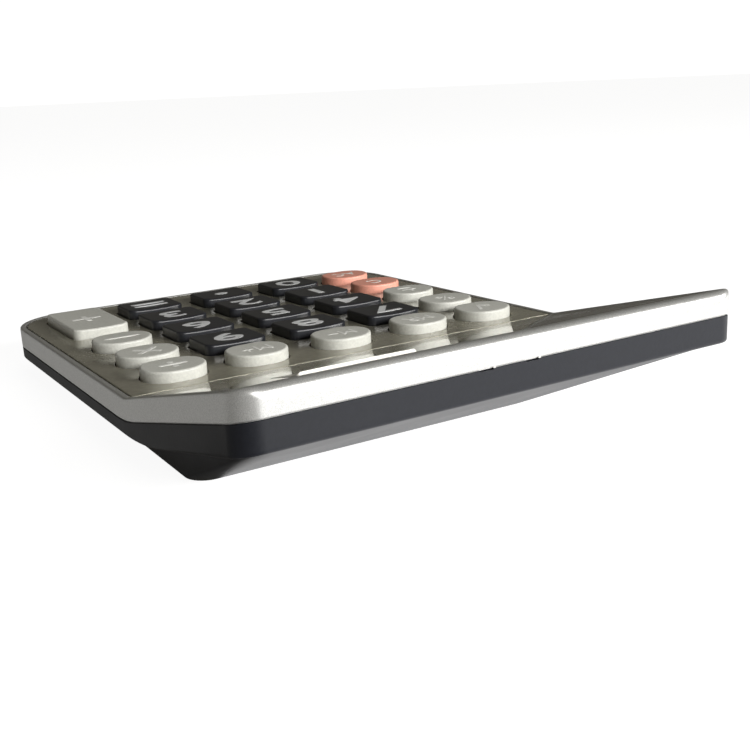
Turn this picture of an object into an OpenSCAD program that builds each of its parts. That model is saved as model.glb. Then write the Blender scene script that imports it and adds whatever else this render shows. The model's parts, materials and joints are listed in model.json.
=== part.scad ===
/* [Case] */
// Width of the case
body_w = 86.8; // [82:0.2:92]
// Distance from the middle of the top key row to the user's end of the case
front_len = 68.8; // [68:0.2:74]
// Distance from the middle of the top key row to the display end of the case
end_len = 51.8; // [50:0.2:54]
// Corner radius in plan at the user's end
front_r = 12; // [10:0.5:13]
// Corner radius in plan at the display end
end_r = 3.8; // [3:0.1:5]
// Wall thickness of both covers
wall = 1.6; // [1.4:0.1:1.8]
// Angle of the display section above the keyboard
display_tilt = 14; // [13:0.25:15]
// Angle by which the belly tips the keyboard towards the user
rest_tilt = 1; // [0.6:0.1:1.2]
// Depth of the silver edge at the keyboard
seam_drop = 4; // [3.8:0.1:4.4]
// Depth of the whole edge at the keyboard
edge_drop = 6.4; // [6.4:0.1:7.2]
// Depth of the belly at its deepest line
belly_drop = 10.4; // [10.2:0.1:11]
// Height of the rim above the keyboard plate
rim_h = 0.1; // [0.1:0.05:0.3]

/* [Keys] */
// Sideways distance from the middle column to the next ones
col_inner = 16.8; // [16.4:0.1:17]
// Sideways distance from the middle column to the outer ones
col_outer = 32; // [31.5:0.1:32.5]
// Distance between the top row and the second row
row_first = 12.5; // [12.3:0.1:13.2]
// Distance between the other rows
row_pitch = 13.8; // [13.6:0.1:14.4]
// Width of a square key
key_w = 11.8; // [11:0.1:12]
// Width of an oval key and of the tall key
oval_w = 11; // [10.4:0.1:11.4]
// Depth of a square key
key_d = 10.4; // [10:0.1:10.8]
// Depth of an oval key
oval_d = 9.6; // [9:0.1:10]
// Depth of the tall key
tall_d = 22.4; // [21:0.2:23]
// Height of the key tops above the plate
key_h = 1.9; // [1.6:0.1:2.2]
// Gap between a key and its aperture
key_gap = 0.25; // [0.2:0.05:0.35]

/* [Display] */
// Width of the visible part of the liquid crystal panel
lcd_w = 66; // [60:1:70]
// Depth of the visible part of the liquid crystal panel
lcd_d = 17; // [15:0.5:18]
// Width of the solar window
solar_w = 18.2; // [16:0.2:20]
// Depth of the solar window
solar_d = 8; // [6:0.5:9]

/* [Hidden] */
$fn = 64;
SKIN = 0.01;                       // how far a cut runs past the face it opens
plate_t = 0.8;                     // keyboard plate and display window
deck_t = 1.1;                      // front cover's deck under the plate
plate_gap = 0.4;                   // groove between the plate and the rim
rim_w = 1.1;                       // width of the rim
bend_y = 8.5;                      // where the display section starts
seam_bend_y = 7.9;
seam_tilt = 13.6;
seam_soft = 4;                     // the seam bends over this distance either way
under_bend_y = 14.4;
under_tilt = 12.9;
under_soft = 8;
belly_w = 79;
belly_front_y = 24.3;               // the belly's deepest line
belly_back_y = -58;
right_r = 3.6;                     // radius of the belly's leading corners
left_r = 20;
foot_h = 0.8;
foot_r = 4;
foot_sink = 0.4;                   // depth of the feet's pockets
FEET = [for (x = [-1, 1]) each [[x * 28.5, 20], [x * 33, -39]]];
notch_w = 2.2;
deck_bottom = -plate_t - deck_t;   // underside of the front cover's deck at the keyboard
ROWS = [0, -row_first, -row_first - row_pitch, -row_first - 2 * row_pitch, -row_first - 3 * row_pitch];
tall_shift = 2;                    // from the middle of its two rows towards the user's end
COLS = [-col_outer, -col_inner, 0, col_inner, col_outer];

// Keys: name, column, row, style
KEYS = [
    ["key_root", 0, 0, "oval"], ["key_mrc", 1, 0, "oval"], ["key_m_minus", 2, 0, "oval"],
    ["key_m_plus", 3, 0, "oval"], ["key_divide", 4, 0, "oval"],
    ["key_percent", 0, 1, "oval"], ["key_7", 1, 1, "square"], ["key_8", 2, 1, "square"],
    ["key_9", 3, 1, "square"], ["key_times", 4, 1, "oval"],
    ["key_shift", 0, 2, "oval"], ["key_4", 1, 2, "square"], ["key_5", 2, 2, "square"],
    ["key_6", 3, 2, "square"], ["key_minus", 4, 2, "oval"],
    ["key_c", 0, 3, "coral"], ["key_1", 1, 3, "square"], ["key_2", 2, 3, "square"],
    ["key_3", 3, 3, "square"], ["key_plus", 4, 3.5, "tall"],
    ["key_on", 0, 4, "coral"], ["key_0", 1, 4, "square"], ["key_point", 2, 4, "square"],
    ["key_equals", 3, 4, "square"]
];

// Key stack, heights below the plate's top face
flange_top = deck_bottom - 0.05;
flange_t = 0.5;
flange_w = 0.7;
cap_bottom = flange_top - flange_t;
mat_top = -3.6;
mat_t = 0.35;
board_t = 0.75;
board_top = mat_top - mat_t;
board_bottom = board_top - board_t;
dome_r = 3.4;
dome_h = cap_bottom - mat_top;
mat_w = 72;
mat_y1 = 3.9;                      // mat's edge towards the display
board_w = 72.6;
board_y0 = -front_len + 6;
board_y1 = 7;
wire_r = 0.4;

// Fasteners: board screws as x, y; case screws as x, y and the length they grip in the rear cover
SCREW_ROWS = [-row_first / 2, (ROWS[2] + ROWS[3]) / 2, (ROWS[3] + ROWS[4]) / 2];
BOARD_SCREWS = [for (x = [-1, 1], y = SCREW_ROWS) [x * col_inner / 2, y]];
CASE_SCREWS = [for (x = [-1, 1]) each [[x * 24.4, -front_len + 4.2, 1.1], [x * 36.2, 7.6, 2.2]]];
screw_r = 0.85;
pilot_r = 0.9;
pilot_h = 1.6;
clear_r = 1.15;
head_r = 1.75;
head_h = 1;
board_head_h = 0.5;

// Battery bay, in the rest frame
cell_r = 5.8;
cell_h = 3.05;
cell_x = -12;
cell_y = 21.5;
cup_r = cell_r + 0.5;
cup_top = 5;
door_w = 21;
door_d = 17;
door_t = 1.3;
door_gap = 0.15;
contact_t = 0.2;
door_screw_x = cell_x + 8.5;

// Panel frame: distances up the tilted display section, from the bend
panel_len = (end_len - bend_y) / cos(display_tilt);
window_start = 0.6;
window_end = panel_len - 3.4;
lcd_s = 15.5;                      // middle of the liquid crystal panel
solar_s = panel_len - 8.6;         // middle of the solar cell
solar_x = 23.8;
solar_rise = 0.6;                  // height of the solar window above the display window
cell_t = 1.2;                      // solar cell's thickness
glass_w = 72;
glass_d = 22;
glass_t = 0.9;
glass_ledge = 2.5;                 // strip of the lower glass left bare for the connector
glass_top = deck_bottom - 0.1;
holder_w = 74;
holder_d = 26.6;
holder_bottom = -4.6;
flex_w = 60;
flex_t = 0.15;

// Heights of the case's lines at a distance y from the top key row. The seam and the lower edge bend
// along a parabola.
function ramp(y, bend, tilt) = max(0, y - bend) * tan(tilt);
function soft_ramp(y, bend, tilt, soft) =
    abs(y - bend) > soft ? ramp(y, bend, tilt) : pow(y - bend + soft, 2) / (4 * soft) * tan(tilt);
function top_z(y) = ramp(y, bend_y, display_tilt);
function seam_z(y) = -seam_drop + soft_ramp(y, seam_bend_y, seam_tilt, seam_soft);
function under_z(y) = -edge_drop + soft_ramp(y, under_bend_y, under_tilt, under_soft);
function belly_z(y) = -belly_drop - (y - belly_front_y) * tan(rest_tilt);
function key_y(row) = row == 3.5 ? (ROWS[3] + ROWS[4]) / 2 - tall_shift : ROWS[row];

// Place of the keyboard frame in the rest frame: origin under the middle of the case
case_front = -front_len * cos(rest_tilt) - rim_h * sin(rest_tilt);
case_end = end_len * cos(rest_tilt) - under_z(end_len) * sin(rest_tilt);
mid_y = (case_front + case_end) / 2;
lift = foot_h + belly_drop * cos(rest_tilt) - belly_front_y * sin(rest_tilt);

// Points of the side view: from the panel's frame to the keyboard's, and from there to the rest frame
function panel_point(s, z) =
    [bend_y + s * cos(display_tilt) - z * sin(display_tilt), s * sin(display_tilt) + z * cos(display_tilt)];
function rest_y(y, z) = y * cos(rest_tilt) - z * sin(rest_tilt) - mid_y;
function rest_z(y, z) = y * sin(rest_tilt) + z * cos(rest_tilt) + lift;

module at_rest() {
    translate([0, -mid_y, lift]) rotate([rest_tilt, 0, 0]) children();
}

// The tilted display section's own frame, z up from its surface
module on_panel() {
    translate([0, bend_y, 0]) rotate([display_tilt, 0, 0]) children();
}

// Case outline in plan, moved in by inset
module outline(inset) {
    w = body_w / 2 - inset;
    y0 = -front_len + inset;
    y1 = end_len - inset;
    rf = front_r - inset;
    re = end_r - inset;
    translate([-w, y0 + rf]) square([2 * w, y1 - re - y0 - rf]);
    translate([-(w - rf), y0]) square([2 * (w - rf), 2 * rf]);
    translate([-(w - re), y1 - 2 * re]) square([2 * (w - re), 2 * re]);
    for (s = [-1, 1]) {
        translate([s * (w - rf), y0 + rf]) circle(rf);
        translate([s * (w - re), y1 - re]) circle(re);
    }
}

module plan(inset) {
    translate([0, 0, -20]) linear_extrude(50) outline(inset);
}

// Slab across the case between two lines of the side view
module band(upper, lower) {
    points = concat(upper, [for (i = [len(lower) - 1:-1:0]) lower[i]]);
    rotate([90, 0, 90]) linear_extrude(body_w + 4, center = true) polygon(points);
}

function stations(bend, soft) =
    concat([-front_len - 1], [for (i = [-4:4]) bend + soft * i / 4], [end_len + 1]);
function shifted(points, dz) = [for (p = points) [p[0], p[1] + dz]];
TOP = [for (y = [-front_len - 1, bend_y, end_len + 1]) [y, top_z(y)]];
SEAM = [for (y = stations(seam_bend_y, seam_soft)) [y, seam_z(y)]];
UNDER = [for (y = stations(under_bend_y, under_soft)) [y, under_z(y)]];

module rounded(w, d, r) {
    square([w - 2 * r, d], center = true);
    square([w, d - 2 * r], center = true);
    for (x = [-1, 1], y = [-1, 1]) translate([x * (w / 2 - r), y * (d / 2 - r)]) circle(r);
}

// Plan of a key, grown by a margin
module key_plan(style, grow) {
    if (style == "square") rounded(key_w + 2 * grow, key_d + 2 * grow, 1.4 + grow);
    if (style == "tall") rounded(oval_w + 2 * grow, tall_d + 2 * grow, 1.4 + grow);
    if (style == "oval" || style == "coral")
        rounded(oval_w + 2 * grow, oval_d + 2 * grow, oval_d / 2 - 0.2 + grow);
}

module at_key(k) {
    translate([COLS[k[1]], key_y(k[2]), 0]) children();
}

module apertures() {
    for (k = KEYS)
        at_key(k) translate([0, 0, deck_bottom - 1]) linear_extrude(6) key_plan(k[3], key_gap);
}

module front_cover() {
    color([0.72, 0.73, 0.72]) at_rest() {
        difference() {
            intersection() {
                plan(0);
                band(shifted(TOP, rim_h), SEAM);
            }
            intersection() {
                plan(wall);
                band(shifted(TOP, deck_bottom), shifted(SEAM, -1));
            }
            // Recess for the keyboard plate
            intersection() {
                plan(rim_w);
                translate([-50, -front_len, -plate_t]) cube([100, front_len + bend_y, 4]);
            }
            // Recess for the display window
            intersection() {
                plan(rim_w);
                on_panel() translate([-50, -1, -plate_t]) cube([100, window_end + 1 + plate_gap, 4]);
            }
            apertures();
            on_panel() translate([0, lcd_s, -4]) linear_extrude(5) square([lcd_w, lcd_d], center = true);
            on_panel() translate([solar_x, solar_s, -4])
                linear_extrude(5) square([solar_w, solar_d], center = true);
        }
        front_bosses();
    }
}

// Screw bosses under the deck: six for the board, four for the rear cover
module front_bosses() {
    for (p = BOARD_SCREWS)
        translate([p[0], p[1], board_top]) difference() {
            cylinder(r = 1.6, h = deck_bottom - board_top + 0.2);
            translate([0, 0, -SKIN]) cylinder(r = pilot_r, h = pilot_h);
        }
    for (p = CASE_SCREWS)
        translate([p[0], p[1], seam_z(p[1])]) difference() {
            cylinder(r = 2.2, h = top_z(p[1]) + deck_bottom - seam_z(p[1]) + 0.2);
            translate([0, 0, -SKIN]) cylinder(r = pilot_r, h = pilot_h);
        }
}

module keyboard_plate() {
    color([0.42, 0.42, 0.36]) at_rest() difference() {
        intersection() {
            plan(rim_w + plate_gap);
            translate([-50, -front_len, -plate_t]) cube([100, front_len + bend_y - 0.2, plate_t]);
        }
        apertures();
    }
}

module display_window() {
    color([0.35, 0.36, 0.36, 0.6]) at_rest() difference() {
        intersection() {
            plan(rim_w + plate_gap);
            on_panel() translate([-50, window_start, -plate_t])
                cube([100, window_end - window_start, plate_t]);
        }
        on_panel() translate([solar_x, solar_s, -2])
            linear_extrude(4) square([solar_w + 0.2, solar_d + 0.2], center = true);
    }
}

module solar_window() {
    color([0.9, 0.9, 0.88, 0.6]) at_rest() on_panel() translate([solar_x, solar_s, deck_bottom])
        linear_extrude(solar_rise - deck_bottom) square([solar_w - 0.1, solar_d - 0.1], center = true);
}

// Solid of the belly in the rest frame, moved in by inset
module belly(inset) {
    bx = belly_w / 2 - inset;
    back_r = 6;
    top_r = 4;
    front = rest_y(belly_front_y, -belly_drop) - inset;
    back = rest_y(belly_back_y, -edge_drop) + inset;
    top = rest_y(end_len, 0) - 1 - inset;
    top_z = rest_z(end_len, under_z(end_len)) - 0.3 + inset;
    hull()
        for (s = [-1, 1]) {
            lead_r = s > 0 ? right_r : left_r;
            translate([s * (bx - lead_r), front - lead_r, foot_h + inset])
                cylinder(r = lead_r, h = 1, $fn = 48);
            translate([s * (bx - back_r), back + back_r, foot_h + inset])
                cylinder(r = back_r, h = 3, $fn = 32);
            translate([s * (bx - top_r), top - top_r, top_z])
                cylinder(r = top_r, h = 1, $fn = 32);
        }
}

// Outer solid of the rear cover
module shell_solid() {
    at_rest() intersection() {
        plan(0);
        band(SEAM, UNDER);
    }
    difference() {
        belly(0);
        at_rest() band(shifted(SEAM, 20), shifted(UNDER, 1));
    }
}

module cavity() {
    at_rest() intersection() {
        plan(wall);
        band(shifted(SEAM, 3), shifted(UNDER, wall));
    }
    belly(wall);
}

module rear_cover() {
    color([0.1, 0.1, 0.12]) difference() {
        union() {
            difference() {
                shell_solid();
                cavity();
            }
            intersection() {
                shell_solid();
                case_bosses();
            }
            seam_lip();
            battery_cup();
        }
        at_rest() for (p = CASE_SCREWS) {
            translate([p[0], p[1], -14]) cylinder(r = clear_r, h = 30);
            translate([p[0], p[1], -14]) cylinder(r = head_r + 0.25, h = 14 + seam_z(p[1]) - p[2]);
        }
        battery_opening();
        for (f = FEET) translate([f[0], f[1], 0]) cylinder(r = foot_r + 0.1, h = foot_h + foot_sink);
        seam_notches();
    }
}

module case_bosses() {
    at_rest() for (p = CASE_SCREWS)
        translate([p[0], p[1], -14]) cylinder(r = 3.1, h = 14 + seam_z(p[1]));
}

// Lip that stands inside the front cover's wall
module seam_lip() {
    at_rest() difference() {
        intersection() {
            plan(wall + 0.15);
            band(shifted(SEAM, 1), shifted(SEAM, -1.2));
        }
        plan(wall + 0.95);
        for (p = CASE_SCREWS) translate([p[0], p[1], seam_z(p[1])]) cylinder(r = 2.6, h = 6);
    }
    at_rest() difference() {
        intersection() {
            plan(wall - 0.2);
            band(shifted(SEAM, -0.4), shifted(SEAM, -1.2));
        }
        plan(wall + 0.95);
    }
}

// Two pry notches in the seam at the display end
module seam_notches() {
    at_rest() for (x = [6.7, -1.2])
        translate([x - notch_w / 2, end_len - 0.8, seam_z(end_len) - 0.5]) cube([notch_w, 2, 1]);
}

module battery_cup() {
    base = foot_h + wall - 0.3;
    translate([cell_x, cell_y, base]) cylinder(r = cup_r + 1, h = cup_top - base);
    translate([door_screw_x, cell_y, base]) cylinder(r = 2, h = cup_top - base);
}

module battery_opening() {
    translate([cell_x - door_w / 2 - door_gap, cell_y - door_d / 2 - door_gap, 0])
        cube([door_w + 2 * door_gap, door_d + 2 * door_gap, foot_h + door_t]);
    translate([cell_x, cell_y, 0]) cylinder(r = cup_r, h = 12);
    translate([cell_x - 10, cell_y - 1.7, 0]) cube([10, 3.4, cup_top + 1]);
    translate([door_screw_x, cell_y, 0]) cylinder(r = pilot_r, h = cup_top - 0.3);
}

module battery_door() {
    color([0.12, 0.12, 0.14]) difference() {
        translate([cell_x - door_w / 2, cell_y - door_d / 2, foot_h]) cube([door_w, door_d, door_t]);
        translate([door_screw_x, cell_y, 0]) cylinder(r = clear_r, h = 4);
        translate([door_screw_x, cell_y, 0]) cylinder(r = head_r + 0.15, h = foot_h + 0.75);
        for (i = [0:3]) translate([cell_x - 9.2 + i * 1.2, cell_y - 4, foot_h - 1]) cube([0.6, 8, 1.3]);
    }
}

module screw(grip) {
    translate([0, 0, -head_h]) difference() {
        cylinder(r = head_r, h = head_h);
        for (a = [0, 90]) rotate([0, 0, a]) translate([-1.1, -0.25, -SKIN]) cube([2.2, 0.5, 0.6]);
    }
    cylinder(r = screw_r, h = grip);
}

module door_screw() {
    color([0.6, 0.6, 0.6]) translate([door_screw_x, cell_y, foot_h + 0.75]) intersection() {
        screw(3);
        translate([0, 0, -0.7]) cylinder(r = 4, h = 8);
    }
}

module case_screws() {
    color([0.6, 0.6, 0.6]) at_rest() for (p = CASE_SCREWS)
        translate([p[0], p[1], seam_z(p[1]) - p[2]]) screw(p[2] + pilot_h - 0.3);
}

module board_screws() {
    color([0.6, 0.6, 0.6]) at_rest() for (p = BOARD_SCREWS) translate([p[0], p[1], board_bottom]) {
        cylinder(r = screw_r, h = board_t + pilot_h - 0.3);
        translate([0, 0, -board_head_h]) cylinder(r = head_r, h = board_head_h);
    }
}

module rubber_feet() {
    color([0.15, 0.15, 0.15]) for (f = FEET)
        translate([f[0], f[1], 0]) cylinder(r = foot_r, h = foot_h + foot_sink);
}

module lcd_panel() {
    color([0.55, 0.6, 0.52]) at_rest() on_panel() {
        translate([-glass_w / 2, lcd_s - glass_d / 2, glass_top - 2 * glass_t])
            cube([glass_w, glass_d, glass_t]);
        translate([-glass_w / 2, lcd_s - glass_d / 2 + glass_ledge, glass_top - glass_t])
            cube([glass_w, glass_d - glass_ledge, glass_t]);
    }
}

module lcd_holder() {
    color([0.85, 0.85, 0.83]) at_rest() on_panel() difference() {
        translate([-holder_w / 2, lcd_s - holder_d / 2, holder_bottom])
            cube([holder_w, holder_d, glass_top - holder_bottom]);
        translate([-glass_w / 2 - 0.1, lcd_s - glass_d / 2 - 0.1, glass_top - 2 * glass_t - 0.02])
            cube([glass_w + 0.2, glass_d + 0.2, 4]);
        translate([-lcd_w / 2, lcd_s - lcd_d / 2, holder_bottom - 1]) cube([lcd_w, lcd_d, 4]);
        translate([-flex_w / 2 - 0.5, lcd_s - holder_d / 2 - 1, glass_top - glass_t - 0.2])
            cube([flex_w + 1, holder_d / 2, 3]);
    }
}

// Flexible connector from the panel's ledge down to the board
module lcd_flex() {
    path = [
        panel_point(lcd_s - glass_d / 2 + glass_ledge - 0.3, glass_top - glass_t),
        panel_point(lcd_s - holder_d / 2 - 1, glass_top - glass_t),
        [board_y1 + 1, board_top + 0.5],
        [board_y1 - 0.1, board_top],
        [mat_y1 + 0.4, board_top]
    ];
    color([0.75, 0.45, 0.2]) at_rest() rotate([90, 0, 90])
        linear_extrude(flex_w, center = true)
            polygon(concat(shifted(path, flex_t), [for (i = [len(path) - 1:-1:0]) path[i]]));
}

module solar_cell() {
    color([0.12, 0.1, 0.2]) at_rest() on_panel()
        translate([solar_x, solar_s, deck_bottom - cell_t / 2 - 0.02])
            cube([solar_w + 2, solar_d + 1.5, cell_t], center = true);
}

module main_board() {
    color([0.1, 0.35, 0.18]) at_rest() difference() {
        translate([-board_w / 2, board_y0, board_bottom]) cube([board_w, board_y1 - board_y0, board_t]);
        for (p = BOARD_SCREWS) translate([p[0], p[1], board_bottom - 1]) cylinder(r = 1, h = 4);
        for (p = CASE_SCREWS) translate([p[0], p[1], board_bottom - 1]) cylinder(r = 3.5, h = 4);
    }
}

// Blob of resin over the calculator's chip, on the underside of the board
module calc_chip() {
    blob_r = 8;
    blob_h = 1.2;
    color([0.08, 0.08, 0.08]) at_rest() translate([0, -20, board_bottom]) rotate_extrude()
        intersection() {
            translate([0, blob_r - blob_h]) circle(blob_r);
            translate([0, -blob_h]) square([blob_r, blob_h]);
        }
}

module smd_parts() {
    color([0.5, 0.45, 0.4]) at_rest() {
        for (i = [0:3]) translate([12 + 3 * i, -16, board_bottom - 0.6]) cube([1.25, 2, 0.6]);
        for (i = [0:1]) translate([-16, -22 + 5 * i, board_bottom - 0.9]) cube([3.2, 1.6, 0.9]);
        translate([-24, -4, board_bottom - 1.2]) cube([5, 2, 1.2]);
    }
}

module keypad_mat() {
    color([0.75, 0.75, 0.72]) at_rest() difference() {
        union() {
            translate([-mat_w / 2, board_y0 + 0.6, board_top])
                cube([mat_w, mat_y1 - board_y0 - 0.6, mat_t]);
            for (k = KEYS)
                at_key(k) translate([0, 0, mat_top]) cylinder(r1 = dome_r, r2 = dome_r - 1, h = dome_h);
        }
        for (k = KEYS) at_key(k) translate([0, 0, board_top - SKIN])
            cylinder(r1 = dome_r - 0.5, r2 = dome_r - 1.5, h = mat_t + dome_h - 0.6);
        for (p = BOARD_SCREWS) translate([p[0], p[1], board_top - 1]) cylinder(r = 2, h = 4);
    }
}

module battery_cell() {
    color([0.75, 0.75, 0.75]) translate([cell_x, cell_y, foot_h + door_t + contact_t]) {
        cylinder(r = cell_r, h = cell_h - 0.5);
        translate([0, 0, cell_h - 0.5]) cylinder(r = cell_r - 1, h = 0.5);
    }
}

module contact_plus() {
    z0 = foot_h + door_t;
    color([0.8, 0.7, 0.4]) {
        translate([cell_x, cell_y, z0]) cylinder(r = 4.5, h = contact_t);
        translate([cell_x - 9.4, cell_y - 1.5, z0]) cube([6, 3, contact_t]);
        translate([cell_x - 9.4, cell_y - 1.5, z0]) cube([contact_t, 3, 4]);
    }
}

module contact_minus() {
    z0 = foot_h + door_t + contact_t + cell_h;
    color([0.8, 0.8, 0.78]) {
        translate([cell_x - 2, cell_y - 9, z0]) cube([4, 12, contact_t]);
        translate([cell_x - 2, cell_y - 9, foot_h + wall + 0.1]) cube([4, contact_t, z0 - foot_h - wall]);
    }
}

// Chain of straight lengths with round joints
module wire(points) {
    for (i = [0:len(points) - 2])
        hull()
            for (p = [points[i], points[i + 1]]) translate(p) sphere(wire_r, $fn = 12);
}

module power_wires() {
    start = panel_point(solar_s - 2.3, deck_bottom - cell_t - 0.45);
    board_mid = board_top - board_t / 2;
    color([0.7, 0.1, 0.1]) at_rest() for (x = [28, 31])
        wire([
            [x, start[0], start[1]], [x, 40.6, 2.6], [x, 37, 0.8],
            [x - 3, 12, board_mid - 0.5], [x - 3, board_y1 + 0.45, board_mid]
        ]);
}

module key_cap(k) {
    shade = k[3] == "square" ? [0.09, 0.09, 0.1] : k[3] == "coral" ? [0.93, 0.5, 0.42] : [0.66, 0.66, 0.62];
    color(shade) at_rest() at_key(k) difference() {
        union() {
            translate([0, 0, flange_top]) linear_extrude(key_h - flange_top) key_plan(k[3], 0);
            translate([0, 0, cap_bottom]) linear_extrude(flange_t) key_plan(k[3], flange_w);
        }
        translate([0, 0, cap_bottom - SKIN]) linear_extrude(flange_t + 2.5) difference() {
            key_plan(k[3], -1);
            circle(1.8);
        }
    }
}

front_cover();
keyboard_plate();
display_window();
solar_window();
rear_cover();
lcd_panel();
lcd_holder();
lcd_flex();
solar_cell();
power_wires();
main_board();
calc_chip();
smd_parts();
keypad_mat();
battery_cell();
contact_plus();
contact_minus();
battery_door();
door_screw();
case_screws();
board_screws();
rubber_feet();
for (k = KEYS) key_cap(k);
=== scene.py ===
"""Looks of a pocket calculator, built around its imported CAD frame."""

import json
import math

import bmesh
import bpy
from mathutils import Matrix, Vector


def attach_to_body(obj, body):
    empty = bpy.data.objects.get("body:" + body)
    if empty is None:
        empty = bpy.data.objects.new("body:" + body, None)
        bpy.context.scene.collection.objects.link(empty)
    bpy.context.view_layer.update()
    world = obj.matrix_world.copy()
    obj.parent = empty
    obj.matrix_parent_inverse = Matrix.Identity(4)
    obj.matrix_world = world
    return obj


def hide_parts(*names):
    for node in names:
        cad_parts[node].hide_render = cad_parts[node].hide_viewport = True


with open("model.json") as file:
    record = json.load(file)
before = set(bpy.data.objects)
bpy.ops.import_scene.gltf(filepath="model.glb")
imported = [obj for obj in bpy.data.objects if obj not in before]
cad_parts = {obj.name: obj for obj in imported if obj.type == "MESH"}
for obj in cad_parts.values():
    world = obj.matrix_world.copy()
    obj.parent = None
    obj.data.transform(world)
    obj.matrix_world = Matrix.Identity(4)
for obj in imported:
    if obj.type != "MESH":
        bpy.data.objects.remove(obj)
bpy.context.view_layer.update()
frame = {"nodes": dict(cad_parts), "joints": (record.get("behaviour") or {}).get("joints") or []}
MM = 0.001
ARC = 10                               # segments of a quarter turn
CLEAR = 0.02                           # keeps two faces of a boolean out of one plane, in millimetres
MERGE = 0.002                          # vertices closer than this become one, in millimetres

# ---------------------------------------------------------------------------------------------
# Sizes that the CAD model has too, in millimetres and degrees. Heights are measured from the
# face of the keyboard plate, and y from the middle of the top key row.
WALL = 1.6
LIP_INSET = 2.55                       # inner face of the rear cover's lip
LIP_OUTSIDE = 1.75                     # its outer face
PLATE_T = 0.8
DECK_T = 1.1
DECK_BOTTOM = -PLATE_T - DECK_T
RIM_W = 1.1
PLATE_GAP = 0.4
BEND_Y = 8.5
DISPLAY_TILT = 14
SEAM_DROP = 4
SEAM_BEND_Y = 7.9
SEAM_TILT = 13.6
SEAM_SOFT = 4
EDGE_DROP = 6.4
UNDER_BEND_Y = 14.4
UNDER_TILT = 12.9
UNDER_SOFT = 8
FRONT_R = 12
END_R = 3.8
BELLY_HALF = 39.5
BELLY_FRONT_Y = 24.3
BELLY_BACK_Y = -58
BELLY_BACK_R = 6
BELLY_RIGHT_R = 3.6
BELLY_LEFT_R = 20
FOOT_H = 0.8
FOOT_R = 4
SCREW_HEAD_R = 1.75
SCREW_HEAD_H = 1
PILOT_H = 1.6
LCD_W = 66
LCD_D = 17
RIM_H = 0.1

# Sizes of the fittings inside the covers, and of the holes that they leave room for
BOARD_BOSS_R = 1.6
CASE_BOSS_R = 2.2
REAR_BOSS_R = 3.1
PILOT_R = 0.9
SHAFT_R = 1.15                         # clearance hole of a case screw
HEAD_GAP = 0.25
CUP_R = 7.3                            # outside of the wall round the battery cell
CELL_BAY_R = 6.3                       # its inside
DOOR_GAP = 0.3
BELLY_ROOM = 14                        # deeper than the belly's underside
RECESS_R = 1.4                         # corners of the recess at the display end
SEAM_STEP = 0.35                       # how far the front cover steps in at the seam
NOTCHES = (6.7, -1.2)                  # middles of the pry notches
NOTCH_W = 2.2


# ---------------------------------------------------------------------------------------------
# The frames of the keyboard and of the tilted display section

def turned_points(node, turn):
    """A CAD node's vertices, in millimetres, in a frame turned about the world's origin."""
    back = turn.inverted()
    return [back @ v.co / MM for v in frame["nodes"][node].data.vertices]


def rest_tilt():
    """Angle between the keyboard and the ground, from the direction in which its keys are pressed."""
    press = Vector(frame["joints"][0]["axis"])
    return math.atan2(press.y, -press.z)


def keyboard_frame():
    """Matrix from the keyboard's frame, in millimetres, to the frame of the CAD model, in metres."""
    turn = Matrix.Rotation(rest_tilt(), 4, "X")
    plate_z = max(p.z for p in turned_points("keyboard_plate", turn))
    row_y = [p.y for p in turned_points("key_m_minus", turn)]
    origin = Vector((0, (min(row_y) + max(row_y)) / 2, plate_z))
    return turn @ Matrix.Scale(MM, 4) @ Matrix.Translation(origin)


KEYBOARD = keyboard_frame()
PANEL_TURN = Matrix.Rotation(math.radians(DISPLAY_TILT), 4, "X")
PANEL = KEYBOARD @ Matrix.Translation((0, BEND_Y, 0)) @ PANEL_TURN
GROUND = Matrix.Scale(MM, 4)


def extents(node, place=KEYBOARD):
    """Lowest and highest corner of a CAD node, in millimetres, in one of the frames above."""
    back = place.inverted()
    points = [back @ v.co for v in frame["nodes"][node].data.vertices]
    return [Vector(f(p[i] for p in points) for i in range(3)) for f in (min, max)]


CASE_LO, CASE_HI = extents("front_cover")
HALF_W = CASE_HI.x
FRONT_Y = CASE_LO.y
END_Y = extents("rear_cover")[1].y
BOARD_TOP = extents("main_board")[1].z
GLASS_LO, GLASS_HI = extents("lcd_panel", PANEL)
LCD_MID_Y = (GLASS_LO.y + GLASS_HI.y) / 2
LCD_LO = Vector((-LCD_W / 2, LCD_MID_Y - LCD_D / 2, 0))
LCD_HI = Vector((LCD_W / 2, LCD_MID_Y + LCD_D / 2, 0))


def ramp(y, bend, tilt, soft):
    """Height of a line that is level up to its bend and then rises, with a parabola at the bend."""
    rise = math.tan(math.radians(tilt))
    if abs(y - bend) < soft:
        return (y - bend + soft) ** 2 / (4 * soft) * rise
    return max(y - bend, 0) * rise


def top_z(y):
    """Face of the keyboard plate and of the display window."""
    return ramp(y, BEND_Y, DISPLAY_TILT, 0.5)


def seam_z(y):
    """Parting line between the two covers."""
    return -SEAM_DROP + ramp(y, SEAM_BEND_Y, SEAM_TILT, SEAM_SOFT)


def under_z(y):
    """Underside of the rear cover beside its belly."""
    return -EDGE_DROP + ramp(y, UNDER_BEND_Y, UNDER_TILT, UNDER_SOFT)


def belly_z(y):
    """The belly's flat underside, which is level when the calculator rests on its feet."""
    return (KEYBOARD.inverted() @ Vector((0, 0, FOOT_H * MM))).z - y * math.tan(rest_tilt())


# ---------------------------------------------------------------------------------------------
# Mesh building

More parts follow.
